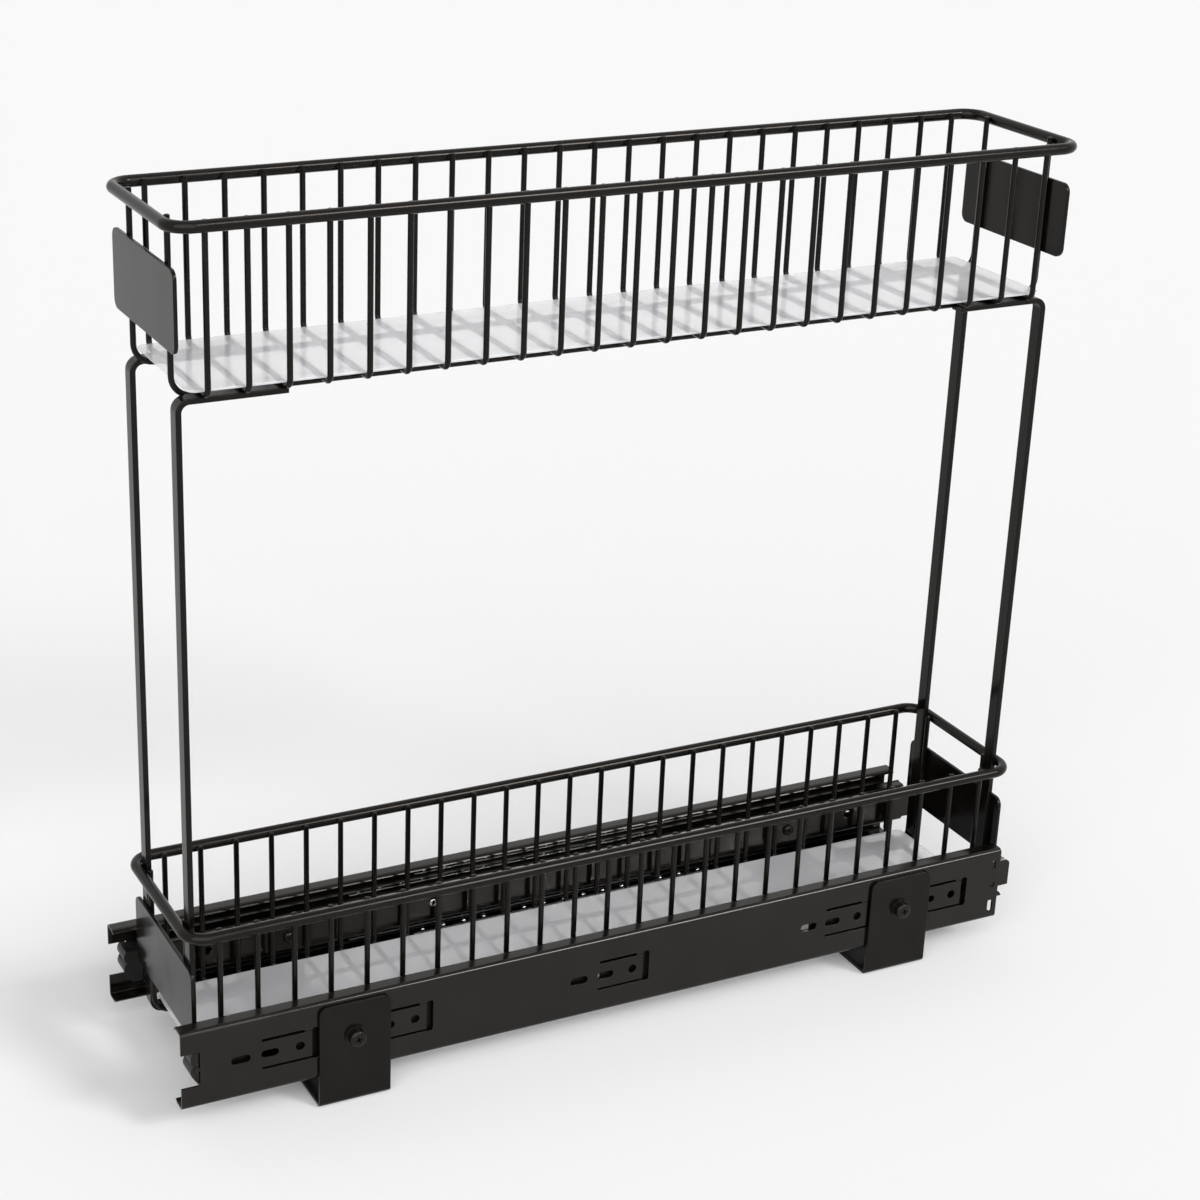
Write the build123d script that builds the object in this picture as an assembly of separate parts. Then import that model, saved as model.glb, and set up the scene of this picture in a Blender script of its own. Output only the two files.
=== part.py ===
from build123d import *
import math
import os

# Two-tier pull-out basket on a pair of three-section ball slides, in millimetres.
# +X is the way it pulls out, +Z is up, and z = 0 is the cabinet floor under the saddles.
# The middle of its closed length is x = 0. Right is +Y, left is -Y.
# What repeats, such as wires, balls and small holes, is drawn with a few flats to keep the model light.

# Wires and rods
wire_d = 3.0
rod_d = 6.0
wire_sides = 6              # each flat is as far from the axis as the round wire's surface
rod_sides = 12
cross_wire_bend = 4.0       # bends are measured at the middle line
long_wire_bend = 10.0
rim_corner = 11.0
weld_bump = 0.6             # how far a wire's tip stands above the rim

# Baskets
basket_length = 505.0       # over the rim
basket_width = 101.0
basket_depth = 81.5         # rim's axis to the cross wires' axis under the floor
lower_rim_z = 105.5
tier_spacing = 363.0
cross_wire_count = 24
first_wire_setback = 14.2   # rim's inner face at an end to the nearest cross wire
long_wire_y = 28.0
liner_thickness = 1.2
liner_end_gap = 1.0         # liner's end to where it would climb the end wires
liner_over_bend = 0.5       # how far its sides reach over the cross wires' bends
plate_width = 90.0
plate_height = 40.0
plate_thickness = 2.0
plate_corner = 5.0
plate_drop = 20.0           # rim's axis to the top of an end plate

# Uprights
bar_width = 8.0
bar_thickness = 3.0
bar_y = 34.0
bar_bend = 5.5
tab_length = 56.0

# Slide sections
slide_length = 500.0
slide_height = 45.0
slide_thickness = 12.7
slide_spread = 121.0        # over the outer faces of the pair
slide_z = 39.5
sheet = 1.2
web_bend = 1.8
lip_angle = 65.0            # how far an outer flange curls over its balls
cradle_angle = 45.0         # how far an inner flange curls under its balls
web_gap = 1.4               # between the cabinet web and the intermediate web
drawer_lead = 16.0          # the closed drawer section's front stands this far ahead
basket_setback = 7.5        # front plates behind the drawer section's front
intermediate_setback = 7.0  # behind the cabinet section's front
intermediate_stop_gap = 0.5 # between its rear end and the bumper

# Balls and cages
ball_d = 3.5
ball_sides = 6
ball_clearance = 0.25
ball_s = 7.4                # ball rows' distance from the slide's outer face
ball_count = 10             # in each row
ball_pitch = 19.4
cage_sheet = 0.7
cage_edge = 10.0            # cage flange's free edge, from the slide's outer face
pocket_clearance = 0.3
outer_cage_setback = 129.0  # behind the cabinet section's front
inner_cage_setback = 169.0

# Punchings in the slides; a setback is measured from the section's own front or rear end
front_tongue_setbacks = (33.2, 97.5, 242.5)
rear_tongue_setbacks = (128.5, 64.2)
front_web_slot_setbacks = (129.8, 275.0)
rear_web_slot_setback = 31.9
tongue_hole_d = 5.0
tongue_behind = 21.0
tongue_ahead = 6.6
tongue_width = 15.2
tongue_slit = 1.2
tongue_end_slit = 3.6
tongue_end_slit_length = 18.4
pilot_slot_length = 9.6
pilot_slot_width = 4.2
pilot_slot_behind = 16.5
web_slot_length = 10.4
web_slot_width = 4.4
end_holes_setback = 4.5
end_hole_d = 3.6
end_slot_z = 13.0
end_slot_length = 5.0
end_slot_width = 2.5
end_window_z = -14.0
end_window_height = 7.6
end_window_width = 3.2
access_slot_length = 22.0
access_slot_width = 9.0
front_access_setback = 26.0
rear_access_setback = 37.0
drawer_hole_d = 5.0
front_drawer_hole_setback = 49.8
rear_drawer_hole_setback = 36.3
drawer_tab_length = 9.0
drawer_tab_low = -11.5
drawer_tab_high = 6.5
drawer_tab_corner = 2.5
rivet_setback = 328.5
rivet_d = 4.3
rivet_proud = 0.6

# Saddle brackets and their screws
saddle_thickness = 2.0
saddle_length = 40.0
saddle_height = 59.5
saddle_bend = 2.0
saddle_corner = 5.0
front_saddle_setback = 70.0 # cabinet section's front end to the bracket's middle
rear_saddle_setback = 94.0
floor_hole_d = 5.0
floor_hole_spacing = 80.0
screw_d = 4.0
screw_hole_clearance = 0.25
screw_sides = 12
screw_head_d = 9.5
screw_head_height = 4.0
washer_d = 12.0
washer_thickness = 1.0

# Rear bumpers
bumper_length = 9.5
bumper_end_gap = 6.0        # cabinet section's rear end to the bumper's flat
bumper_height = 19.0
bumper_rib_r = 2.0
bumper_rib_proud = 1.0
bumper_rib_sides = 6
bumper_rib_count = 3
bumper_taper = 5.0          # cut off its lower rear corner
bumper_button_d = 3.4
bumper_button_height = 0.5
web_notch_depth = 10.0
running_gap = 0.3

# Lugs between the basket and the drawer sections
lug_length = 28.0
lug_height = 16.0
lug_wire_count = 4          # a lug joins this wire, counted from an end, to the next
lug_screw_head_d = 7.0
lug_screw_head_height = 2.2
lug_screw_beyond = 1.5

# Places worked out from the sizes
cabinet_rear_x = -(slide_length + drawer_lead) / 2
cabinet_front_x = cabinet_rear_x + slide_length
drawer_rear_x = cabinet_rear_x + drawer_lead
drawer_front_x = cabinet_front_x + drawer_lead
intermediate_front_x = cabinet_front_x - intermediate_setback
intermediate_rear_x = cabinet_rear_x + bumper_end_gap + bumper_length + intermediate_stop_gap
slide_y = slide_spread / 2
rim_end = basket_length / 2 - rod_d / 2
rim_side = basket_width / 2 - rod_d / 2
end_wire_face = rim_end - rod_d / 2
side_wire_face = rim_side - rod_d / 2
first_wire_reach = end_wire_face - first_wire_setback
cross_wire_pitch = 2 * first_wire_reach / (cross_wire_count - 1)
basket_x = drawer_front_x - basket_setback - plate_thickness - end_wire_face
rim_heights = {"lower": lower_rim_z, "upper": lower_rim_z + tier_spacing}
race_r = ball_d / 2 + ball_clearance + sheet / 2
flange_z = slide_height / 2 - sheet / 2
outer_ball_z = flange_z - race_r
inner_ball_z = outer_ball_z - 2 * race_r
drawer_flange_z = inner_ball_z - race_r
screw_hole_d = screw_d + 2 * screw_hole_clearance
saddle_places = (cabinet_rear_x + rear_saddle_setback, cabinet_front_x - front_saddle_setback)
lug_reach = first_wire_reach - (lug_wire_count - 1 / 2) * cross_wire_pitch
lug_places = (basket_x - lug_reach, basket_x + lug_reach)


def eased(corners, radius, chords, closed=False):
    """A route through the corners, each eased by short straight chords just outside its arc."""
    points = [Vector(*c) for c in corners]
    count = len(points)
    route = []
    for i, corner in enumerate(points):
        if not closed and i in (0, count - 1):
            route.append(corner)
            continue
        ahead = (corner - points[i - 1]).normalized()
        turned = (points[(i + 1) % count] - corner).normalized()
        angle = math.radians(ahead.get_angle(turned))
        inward = (turned - ahead * math.cos(angle)).normalized()
        middle = corner - ahead * (radius * math.tan(angle / 2)) + inward * radius
        step = angle / (chords + 1)
        reach = radius / math.cos(step / 2)
        for k in range(chords + 1):
            a = step * (k + 0.5)
            route.append(middle - inward * (reach * math.cos(a)) + ahead * (reach * math.sin(a)))
    return route


def rod(route, diameter, sides, closed=False):
    """A flat-sided rod along a route, with a flat on each side that meets its neighbours."""
    section = RegularPolygon(diameter / 2, sides, major_radius=False, rotation=180 / sides)
    if closed:
        start = (route[0] + route[-1]) * 0.5
        path = Polyline(start, *route, start)
        plane = Plane(origin=path @ 0, x_dir=(0, 0, 1), z_dir=path % 0)
    else:
        path = Polyline(*route)
        across = Vector(1, 0, 0) if abs((path % 0.5).X) < 0.5 else Vector(0, 1, 0)
        plane = Plane(origin=path @ 0, x_dir=across.cross(path % 0), z_dir=path % 0)
    return sweep(plane * section, path, transition=Transition.RIGHT)


def eased_rectangle(width, height, corner):
    x = width / 2
    y = height / 2
    return Polygon(*eased([(x, y), (-x, y), (-x, -y), (x, -y)], corner, 2, closed=True))


def bent_sheet(corners, bend, thickness):
    """The thick section of a sheet that is bent at the corners of its middle line."""
    return trace(Polyline(*eased(corners, bend, 2)), line_width=thickness)


def rim(rim_z):
    """The closed rod round the top of a basket."""
    front = basket_x + rim_end
    rear = basket_x - rim_end
    ring = [(front, -rim_side), (front, rim_side), (rear, rim_side), (rear, -rim_side)]
    corners = [(x, y, rim_z) for x, y in ring]
    return rod(eased(corners, rim_corner, 3, closed=True), rod_d, rod_sides, closed=True)


def cross_wires(rim_z):
    """U-shaped wires across a basket, welded inside the rim."""
    y = side_wire_face - wire_d / 2
    floor_z = rim_z - basket_depth
    top_z = rim_z + rod_d / 2 + weld_bump
    corners = [(0, -y, top_z), (0, -y, floor_z), (0, y, floor_z), (0, y, top_z)]
    wire = rod(eased(corners, cross_wire_bend, 1), wire_d, wire_sides)
    first_x = basket_x - first_wire_reach
    return [Pos(first_x + i * cross_wire_pitch, 0, 0) * wire for i in range(cross_wire_count)]


def long_wires(rim_z):
    """Two long U-shaped wires under the cross wires, welded inside the rim's ends."""
    x = end_wire_face - wire_d / 2
    floor_z = rim_z - basket_depth - wire_d
    top_z = rim_z + rod_d / 2 + weld_bump
    corners = [(-x, 0, top_z), (-x, 0, floor_z), (x, 0, floor_z), (x, 0, top_z)]
    wire = rod(eased(corners, long_wire_bend, 2), wire_d, wire_sides)
    return [Pos(basket_x, side * long_wire_y, 0) * wire for side in (-1, 1)]


def liner(rim_z):
    """The frosted sheet that lies on the cross wires, as long as the end wires' bends let it be."""
    inside_bend = long_wire_bend - wire_d / 2
    bend_start = end_wire_face - wire_d / 2 - long_wire_bend
    climb = bend_start + math.sqrt(inside_bend**2 - (inside_bend - wire_d) ** 2)
    flat_side = side_wire_face - wire_d / 2 - cross_wire_bend
    sheet_size = (2 * (climb - liner_end_gap), 2 * (flat_side + liner_over_bend), liner_thickness)
    bottom = rim_z - basket_depth + wire_d / 2
    return Pos(basket_x, 0, bottom + liner_thickness / 2) * Box(*sheet_size)


def end_plate(rim_z, end):
    """A plain plate across a basket's end, outside the end wires and the uprights."""
    middle_x = basket_x + end * (end_wire_face + plate_thickness / 2)
    outline = eased_rectangle(plate_width, plate_height, plate_corner)
    plate = extrude(Plane.YZ * outline, amount=plate_thickness / 2, both=True)
    return Pos(middle_x, 0, rim_z - plate_drop - plate_height / 2) * plate


def upright(end, side):
    """A flat bar with a tab bent under the floor wires of each basket."""
    under_wires = basket_depth + wire_d / 2 + bar_thickness / 2
    bottom = rim_heights["lower"] - under_wires
    top = rim_heights["upper"] - under_wires
    outer = end_wire_face - bar_thickness / 2
    tip = end_wire_face - tab_length
    corners = [(tip, bottom), (outer, bottom), (outer, top), (tip, top)]
    bar = extrude(Plane.XZ * bent_sheet(corners, bar_bend, bar_thickness), bar_width / 2, both=True)
    if end < 0:
        bar = mirror(bar, about=Plane.YZ)
    return Pos(basket_x, side * bar_y, 0) * bar


def web_corner(web_s, flange_height, turn):
    """The bend between a web and its flange, towards +s (turn 1) or towards -s (turn -1)."""
    middle = (web_s + turn * web_bend, flange_height - web_bend)
    return CenterArc(middle, web_bend, 90 if turn > 0 else 0, 90)


def rolled_section(upper_half):
    """The thick section of a sheet that is alike above and below the slide's middle."""
    return trace(upper_half + mirror(upper_half, about=Plane.XZ), line_width=sheet)


def cabinet_section():
    """Outer section: its flanges curl over the outer balls."""
    web_s = sheet / 2
    half = Curve() + [
        Line((web_s, 0), (web_s, flange_z - web_bend)),
        web_corner(web_s, flange_z, 1),
        Line((web_s + web_bend, flange_z), (ball_s, flange_z)),
        CenterArc((ball_s, outer_ball_z), race_r, 90 - lip_angle, lip_angle),
    ]
    return rolled_section(half)


def intermediate_section():
    """Middle section: a shoulder and a groove under the outer balls, a lip over the inner balls."""
    web_s = sheet + web_gap + sheet / 2
    cradle = math.radians(cradle_angle)
    shoulder_r = (ball_s - web_s - race_r * math.sin(cradle)) / (1 + math.sin(cradle))
    shoulder_z = outer_ball_z - (race_r + shoulder_r) * math.cos(cradle)
    shoulder_middle = (web_s + shoulder_r, shoulder_z)
    half = Curve() + [
        Line((web_s, 0), (web_s, shoulder_z)),
        CenterArc(shoulder_middle, shoulder_r, 90 - cradle_angle, 90 + cradle_angle),
        CenterArc((ball_s, outer_ball_z), race_r, 270 - cradle_angle, cradle_angle),
        CenterArc((ball_s, inner_ball_z), race_r, 90 - lip_angle, lip_angle),
    ]
    return rolled_section(half)


def drawer_section():
    """Inner section: its flanges cradle the inner balls."""
    web_s = slide_thickness - sheet / 2
    half = Curve() + [
        Line((web_s, 0), (web_s, drawer_flange_z - web_bend)),
        web_corner(web_s, drawer_flange_z, -1),
        Line((web_s - web_bend, drawer_flange_z), (ball_s, drawer_flange_z)),
        CenterArc((ball_s, inner_ball_z), race_r, 270 - cradle_angle, cradle_angle),
    ]
    return rolled_section(half)


def along_slide(section, rear_x, front_x):
    """A section of the right slide, drawn from its outer face inwards, drawn out along X."""
    plane = Plane(origin=(rear_x, slide_y, slide_z), x_dir=(0, -1, 0), z_dir=(-1, 0, 0))
    return extrude(plane * section, amount=rear_x - front_x)


def through(outline, near_s, far_s):
    """An outline in (x, height from the slide's middle), run through the right slide."""
    plane = Plane(origin=(0, slide_y - near_s, slide_z), x_dir=(1, 0, 0), z_dir=(0, -1, 0))
    return extrude(plane * outline, amount=far_s - near_s)


def small_round(x, diameter, sides=8):
    """A small round outline drawn with flats."""
    return Pos(x, 0) * RegularPolygon(diameter / 2, sides, major_radius=False)


def short_slot(x, length, width):
    """A small slot with its corners cut."""
    return Pos(x, 0) * chamfer(Rectangle(length, width).vertices(), 0.3 * width)


def tongue_cut(hole_x):
    """A screw hole in a tongue that three slits leave springy, with a pilot slot behind the hole."""
    cut = small_round(hole_x, tongue_hole_d)
    cut += Pos(hole_x - pilot_slot_behind, 0) * Rectangle(pilot_slot_length, pilot_slot_width)
    length = tongue_behind + tongue_ahead
    slit_x = hole_x + (tongue_ahead - tongue_behind) / 2
    slit_z = (tongue_width + tongue_slit) / 2
    cut += [Pos(slit_x, side * slit_z) * Rectangle(length, tongue_slit) for side in (-1, 1)]
    end_x = hole_x + tongue_ahead + tongue_end_slit / 2
    return cut + Pos(end_x, 0) * Rectangle(tongue_end_slit, tongue_end_slit_length)


def cabinet_member():
    """Outer section of the right slide, with its tongues, slots and notched rear end."""
    member = along_slide(cabinet_section(), cabinet_rear_x, cabinet_front_x)
    holes = [cabinet_front_x - setback for setback in front_tongue_setbacks]
    holes += [cabinet_rear_x + setback for setback in rear_tongue_setbacks]
    slots = [cabinet_front_x - setback for setback in front_web_slot_setbacks]
    slots.append(cabinet_rear_x + rear_web_slot_setback)
    end_x = cabinet_front_x - end_holes_setback
    cuts = Sketch() + [tongue_cut(x) for x in holes]
    cuts += [short_slot(x, web_slot_length, web_slot_width) for x in slots]
    cuts += [small_round(x, screw_hole_d) for x in saddle_places]
    cuts += small_round(end_x, end_hole_d)
    cuts += Pos(end_x, end_slot_z) * Rectangle(end_slot_width, end_slot_length)
    cuts += Pos(end_x, end_window_z) * Rectangle(end_window_width, end_window_height)
    notch_height = bumper_height + 2 * running_gap
    cuts += Pos(cabinet_rear_x, 0) * Rectangle(2 * web_notch_depth, notch_height)
    return member - through(cuts, -sheet, 1.2 * sheet)


def intermediate_member():
    """Middle section of the right slide, with an access slot near each end."""
    member = along_slide(intermediate_section(), intermediate_rear_x, intermediate_front_x)
    places = (intermediate_rear_x + rear_access_setback, intermediate_front_x - front_access_setback)
    cuts = Sketch() + [short_slot(x, access_slot_length, access_slot_width) for x in places]
    return member - through(cuts, sheet, web_gap + 2.2 * sheet)


def drawer_member():
    """Inner section of the right slide; its web runs on into a rounded tab at the front."""
    web_front_x = drawer_front_x - drawer_tab_length
    member = along_slide(drawer_section(), drawer_rear_x, web_front_x)
    tab = Rectangle(2 * drawer_tab_length, drawer_tab_high - drawer_tab_low)
    tab = chamfer(tab.vertices().group_by(Axis.X)[-1], drawer_tab_corner)
    tab = Pos(web_front_x, (drawer_tab_high + drawer_tab_low) / 2) * tab
    member += through(tab, slide_thickness - sheet, slide_thickness)
    holes = (drawer_front_x - front_drawer_hole_setback, drawer_rear_x + rear_drawer_hole_setback)
    cuts = Sketch() + [small_round(x, drawer_hole_d) for x in holes]
    cuts += [small_round(x, screw_hole_d) for x in lug_places]
    cuts += small_round(drawer_front_x - rivet_setback, rivet_d)
    return member - through(cuts, slide_thickness - 1.2 * sheet, slide_thickness + sheet)


def drawer_rivet():
    """A rivet through the right drawer section's web."""
    outline = small_round(drawer_front_x - rivet_setback, rivet_d)
    return through(outline, slide_thickness - sheet - rivet_proud, slide_thickness + rivet_proud)


def ball_places(cage_front_x):
    return [cage_front_x - (i + 0.5) * ball_pitch for i in range(ball_count)]


def cage(web_s, ball_height, front_x):
    """A ball cage: a thin channel with a pocket in each flange for every ball."""
    edges = [(cage_edge, -ball_height), (web_s, -ball_height), (web_s, ball_height), (cage_edge, ball_height)]
    strip = trace(Polyline(*edges), line_width=cage_sheet)
    body = along_slide(strip, front_x - ball_count * ball_pitch, front_x)
    pocket = ball_d + 2 * pocket_clearance
    cutter = Box(pocket, pocket, 2 * slide_height)
    return body - [Pos(x, slide_y - ball_s, slide_z) * cutter for x in ball_places(front_x)]


def ball():
    """A small ball drawn with flats, its corners on the sphere."""
    r = ball_d / 2
    ring = RegularPolygon(r * math.cos(math.pi / 6), ball_sides)
    rings = [Pos(0, 0, side * r / 2) * ring for side in (-1, 1)]
    return loft([Vertex(0, 0, -r), *rings, Vertex(0, 0, r)], ruled=True)


def ball_rows(ball_height, front_x):
    """The balls of one cage, a row above and a row below."""
    places = [(x, side * ball_height) for side in (-1, 1) for x in ball_places(front_x)]
    return [Pos(x, slide_y - ball_s, slide_z + z) * ball() for x, z in places]


def bumper():
    """Ribbed plastic stop in the right slide's rear end, with a button on its outer face."""
    rear_x = cabinet_rear_x + bumper_end_gap
    notch_x = cabinet_rear_x + web_notch_depth - running_gap
    block = Pos(rear_x + bumper_length / 2, 0) * Rectangle(bumper_length, bumper_height)
    rib_pitch = (bumper_height - bumper_taper) / bumper_rib_count
    rib_x = rear_x + bumper_rib_r - bumper_rib_proud
    for i in range(bumper_rib_count):
        rib_z = bumper_height / 2 - (i + 0.5) * rib_pitch
        block += Pos(rib_x, rib_z) * RegularPolygon(bumper_rib_r, bumper_rib_sides)
    low_corner = block.vertices().group_by(Axis.Y)[0].sort_by(Axis.X)[0]
    block = chamfer(low_corner, bumper_taper)
    body = through(block, sheet + running_gap, slide_thickness - running_gap)
    plug = block & Pos(notch_x - bumper_length, 0) * Rectangle(2 * bumper_length, bumper_height)
    body += through(plug, 0, sheet + running_gap)
    button = small_round(notch_x - bumper_button_d / 2, bumper_button_d)
    return body + through(button, -bumper_button_height, 0)


def saddle(x):
    """A sheet-steel saddle: a base on the floor and a side up the outer face of each slide."""
    side_y = slide_y + saddle_thickness / 2
    base_z = saddle_thickness / 2
    corners = [(-side_y, saddle_height), (-side_y, base_z), (side_y, base_z), (side_y, saddle_height)]
    section = bent_sheet(corners, saddle_bend, saddle_thickness)
    body = extrude(Plane.YZ * section, saddle_length / 2, both=True)
    side_outline = Pos(0, -saddle_corner) * eased_rectangle(
        saddle_length, 2 * saddle_height + 2 * saddle_corner, saddle_corner
    )
    side_outline -= Pos(0, slide_z) * small_round(0, screw_hole_d)
    body &= extrude(Plane.XZ * side_outline, slide_spread, both=True)
    floor_hole = Cylinder(floor_hole_d / 2, 3 * saddle_thickness)
    body -= [Pos(0, side * floor_hole_spacing / 2, 0) * floor_hole for side in (-1, 1)]
    return Pos(x, 0, 0) * body


def bracket_screw(x):
    """Pan-head screw through the right side of a saddle; it ends flush with the slide's web."""
    washer_s = -saddle_thickness - washer_thickness
    body = through(small_round(x, screw_head_d, screw_sides), washer_s - screw_head_height, washer_s)
    body = chamfer(body.edges().group_by(Axis.Y)[-1], 0.4 * screw_head_height)
    return body + through(small_round(x, screw_d), washer_s, sheet)


def bracket_washer(x):
    ring = small_round(x, washer_d, screw_sides) - small_round(x, screw_hole_d)
    return through(ring, -saddle_thickness - washer_thickness, -saddle_thickness)


def lug(x):
    """A plate welded to two neighbouring cross wires, against the right drawer section."""
    outline = Pos(x, 0) * Rectangle(lug_length, lug_height) - small_round(x, screw_hole_d)
    return through(outline, slide_thickness, slide_y - side_wire_face)


def lug_screw(x):
    """Screw from inside the basket through a lug and the drawer section's web."""
    lug_s = slide_y - side_wire_face
    head = through(small_round(x, lug_screw_head_d), lug_s, lug_s + lug_screw_head_height)
    return head + through(small_round(x, screw_d), slide_thickness - sheet - lug_screw_beyond, lug_s)


def mirrored(pieces):
    return [mirror(piece, about=Plane.XZ) for piece in pieces]


def write(name, pieces):
    """Write one node: a single piece, or a group of like pieces."""
    shape = pieces[0] if len(pieces) == 1 else Compound(children=[Part() + p for p in pieces])
    export_step(shape, f"parts/{name}.step")


def write_pair(name, right_pieces):
    """Write a right-hand node and its mirror image on the left."""
    write(f"right_{name}", right_pieces)
    write(f"left_{name}", mirrored(right_pieces))


def write_both(name, right_pieces):
    """Write the right-hand pieces and their mirror images as one node."""
    write(name, right_pieces + mirrored(right_pieces))


def build_baskets():
    for tier, rim_z in rim_heights.items():
        write(f"{tier}_rim", [rim(rim_z)])
        write(f"{tier}_cross_wires", cross_wires(rim_z))
        write(f"{tier}_long_wires", long_wires(rim_z))
        write(f"{tier}_liner", [liner(rim_z)])
        write(f"{tier}_front_plate", [end_plate(rim_z, 1)])
        write(f"{tier}_rear_plate", [end_plate(rim_z, -1)])
    for end_name, end in (("front", 1), ("rear", -1)):
        for side_name, side in (("left", -1), ("right", 1)):
            write(f"{end_name}_{side_name}_upright", [upright(end, side)])
    write_both("basket_lugs", [lug(x) for x in lug_places])
    write_both("lug_screws", [lug_screw(x) for x in lug_places])


def build_slides():
    write_pair("cabinet_member", [cabinet_member()])
    write_pair("intermediate_member", [intermediate_member()])
    write_pair("drawer_member", [drawer_member()])
    outer_web_s = sheet + web_gap / 2
    inner_web_s = 2 * sheet + web_gap + running_gap + cage_sheet / 2
    outer_front_x = cabinet_front_x - outer_cage_setback
    inner_front_x = cabinet_front_x - inner_cage_setback
    write_pair("outer_cage", [cage(outer_web_s, outer_ball_z, outer_front_x)])
    write_pair("inner_cage", [cage(inner_web_s, inner_ball_z, inner_front_x)])
    write_pair("outer_balls", ball_rows(outer_ball_z, outer_front_x))
    write_pair("inner_balls", ball_rows(inner_ball_z, inner_front_x))
    write_pair("rear_bumper", [bumper()])
    write_both("drawer_rivets", [drawer_rivet()])


def build_saddles():
    rear_x, front_x = saddle_places
    write("rear_saddle_bracket", [saddle(rear_x)])
    write("front_saddle_bracket", [saddle(front_x)])
    write_both("bracket_screws", [bracket_screw(x) for x in saddle_places])
    write_both("bracket_washers", [bracket_washer(x) for x in saddle_places])


os.makedirs("parts", exist_ok=True)
build_baskets()
build_slides()
build_saddles()
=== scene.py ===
import math

import bmesh
import bpy
from mathutils import Matrix, Vector


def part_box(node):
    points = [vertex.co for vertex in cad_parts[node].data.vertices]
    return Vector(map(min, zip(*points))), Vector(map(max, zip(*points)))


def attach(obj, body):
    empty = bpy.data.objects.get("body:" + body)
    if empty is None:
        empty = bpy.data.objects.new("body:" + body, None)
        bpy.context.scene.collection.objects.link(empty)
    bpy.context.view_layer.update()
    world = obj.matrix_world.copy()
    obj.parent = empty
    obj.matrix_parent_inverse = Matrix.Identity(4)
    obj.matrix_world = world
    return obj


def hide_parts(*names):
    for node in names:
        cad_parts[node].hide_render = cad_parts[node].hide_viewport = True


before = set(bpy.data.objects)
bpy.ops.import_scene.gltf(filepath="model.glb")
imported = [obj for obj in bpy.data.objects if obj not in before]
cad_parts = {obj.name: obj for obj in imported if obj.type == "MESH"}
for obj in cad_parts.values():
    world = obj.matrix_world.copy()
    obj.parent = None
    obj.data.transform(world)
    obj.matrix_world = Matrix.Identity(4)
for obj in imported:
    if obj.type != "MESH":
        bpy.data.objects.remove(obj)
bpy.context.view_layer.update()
mm = 0.001


# The studio: a pale seamless floor with a white surround, a softbox at the front on the right, a broad low
# fill beside the camera, and a camera where the photographer stood, above the basket's rear left corner.
def rotation(axis, degrees):
    return Matrix.Rotation(math.radians(degrees), 4, axis)


lens_pixels = 2487.0
frame_pixels = 1200
camera = bpy.data.objects.new("camera", bpy.data.cameras.new("camera"))
bpy.context.scene.collection.objects.link(camera)
bpy.context.scene.camera = camera
camera.data.sensor_width = 36
camera.data.lens = camera.data.sensor_width * lens_pixels / frame_pixels
camera.data.shift_x = 0.0984
camera.data.shift_y = -0.0128
camera.data.clip_start = 0.05
camera.data.clip_end = 60
camera_place = Vector((-589.28, -1080.34, 741.61)) * mm
turned = rotation("Z", -25.78) @ rotation("X", 90 - 22.18) @ rotation("Z", 1.34)
camera.matrix_world = Matrix.Translation(camera_place) @ turned

bpy.context.scene.view_settings.view_transform = "Standard"
world = bpy.data.worlds.new("surround")
bpy.context.scene.world = world
world.use_nodes = True
nodes, links = world.node_tree.nodes, world.node_tree.links
surround = nodes["Background"]
surround.inputs["Color"].default_value = (1, 1, 1, 1)
path = nodes.new("ShaderNodeLightPath")
level = nodes.new("ShaderNodeMapRange")
level.inputs["To Min"].default_value = 0.42
level.inputs["To Max"].default_value = 0.92
seen = path.outputs["Is Camera Ray"]
for ray in ("Is Glossy Ray", "Is Transmission Ray"):
    either = nodes.new("ShaderNodeMath")
    either.operation = "MAXIMUM"
    links.new(seen, either.inputs[0])
    links.new(path.outputs[ray], either.inputs[1])
    seen = either.outputs[0]
links.new(seen, level.inputs["Value"])
links.new(level.outputs["Result"], surround.inputs["Strength"])

for lamp_name, strength, breadth, azimuth, height in (
    ("right_softbox", 1.35, 18, 304, 35),
    ("low_fill", 2.7, 80, 245, 21),
):
    lamp = bpy.data.objects.new(lamp_name, bpy.data.lights.new(lamp_name, "SUN"))
    bpy.context.scene.collection.objects.link(lamp)
    lamp.data.energy = strength
    lamp.data.angle = math.radians(breadth)
    lamp.matrix_world = rotation("Z", azimuth) @ rotation("Y", 90 - height)

bm = bmesh.new()
bmesh.ops.create_grid(bm, x_segments=1, y_segments=1, size=30)
floor_mesh = bpy.data.meshes.new("studio_floor")
bm.to_mesh(floor_mesh)
bm.free()
floor = bpy.data.objects.new("studio_floor", floor_mesh)
bpy.context.scene.collection.objects.link(floor)
paper = bpy.data.materials.new("backdrop_paper")
paper.use_nodes = True
nodes, links = paper.node_tree.nodes, paper.node_tree.links
path = nodes.new("ShaderNodeLightPath")
tone = nodes.new("ShaderNodeMapRange")
tone.inputs["To Min"].default_value = 0.9
tone.inputs["To Max"].default_value = 0.95
links.new(path.outputs["Is Camera Ray"], tone.inputs["Value"])
links.new(tone.outputs["Result"], nodes["Principled BSDF"].inputs["Base Color"])
nodes["Principled BSDF"].inputs["Roughness"].default_value = 0.9
nodes["Principled BSDF"].inputs["Specular IOR Level"].default_value = 0.1
floor_mesh.materials.append(paper)


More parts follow.
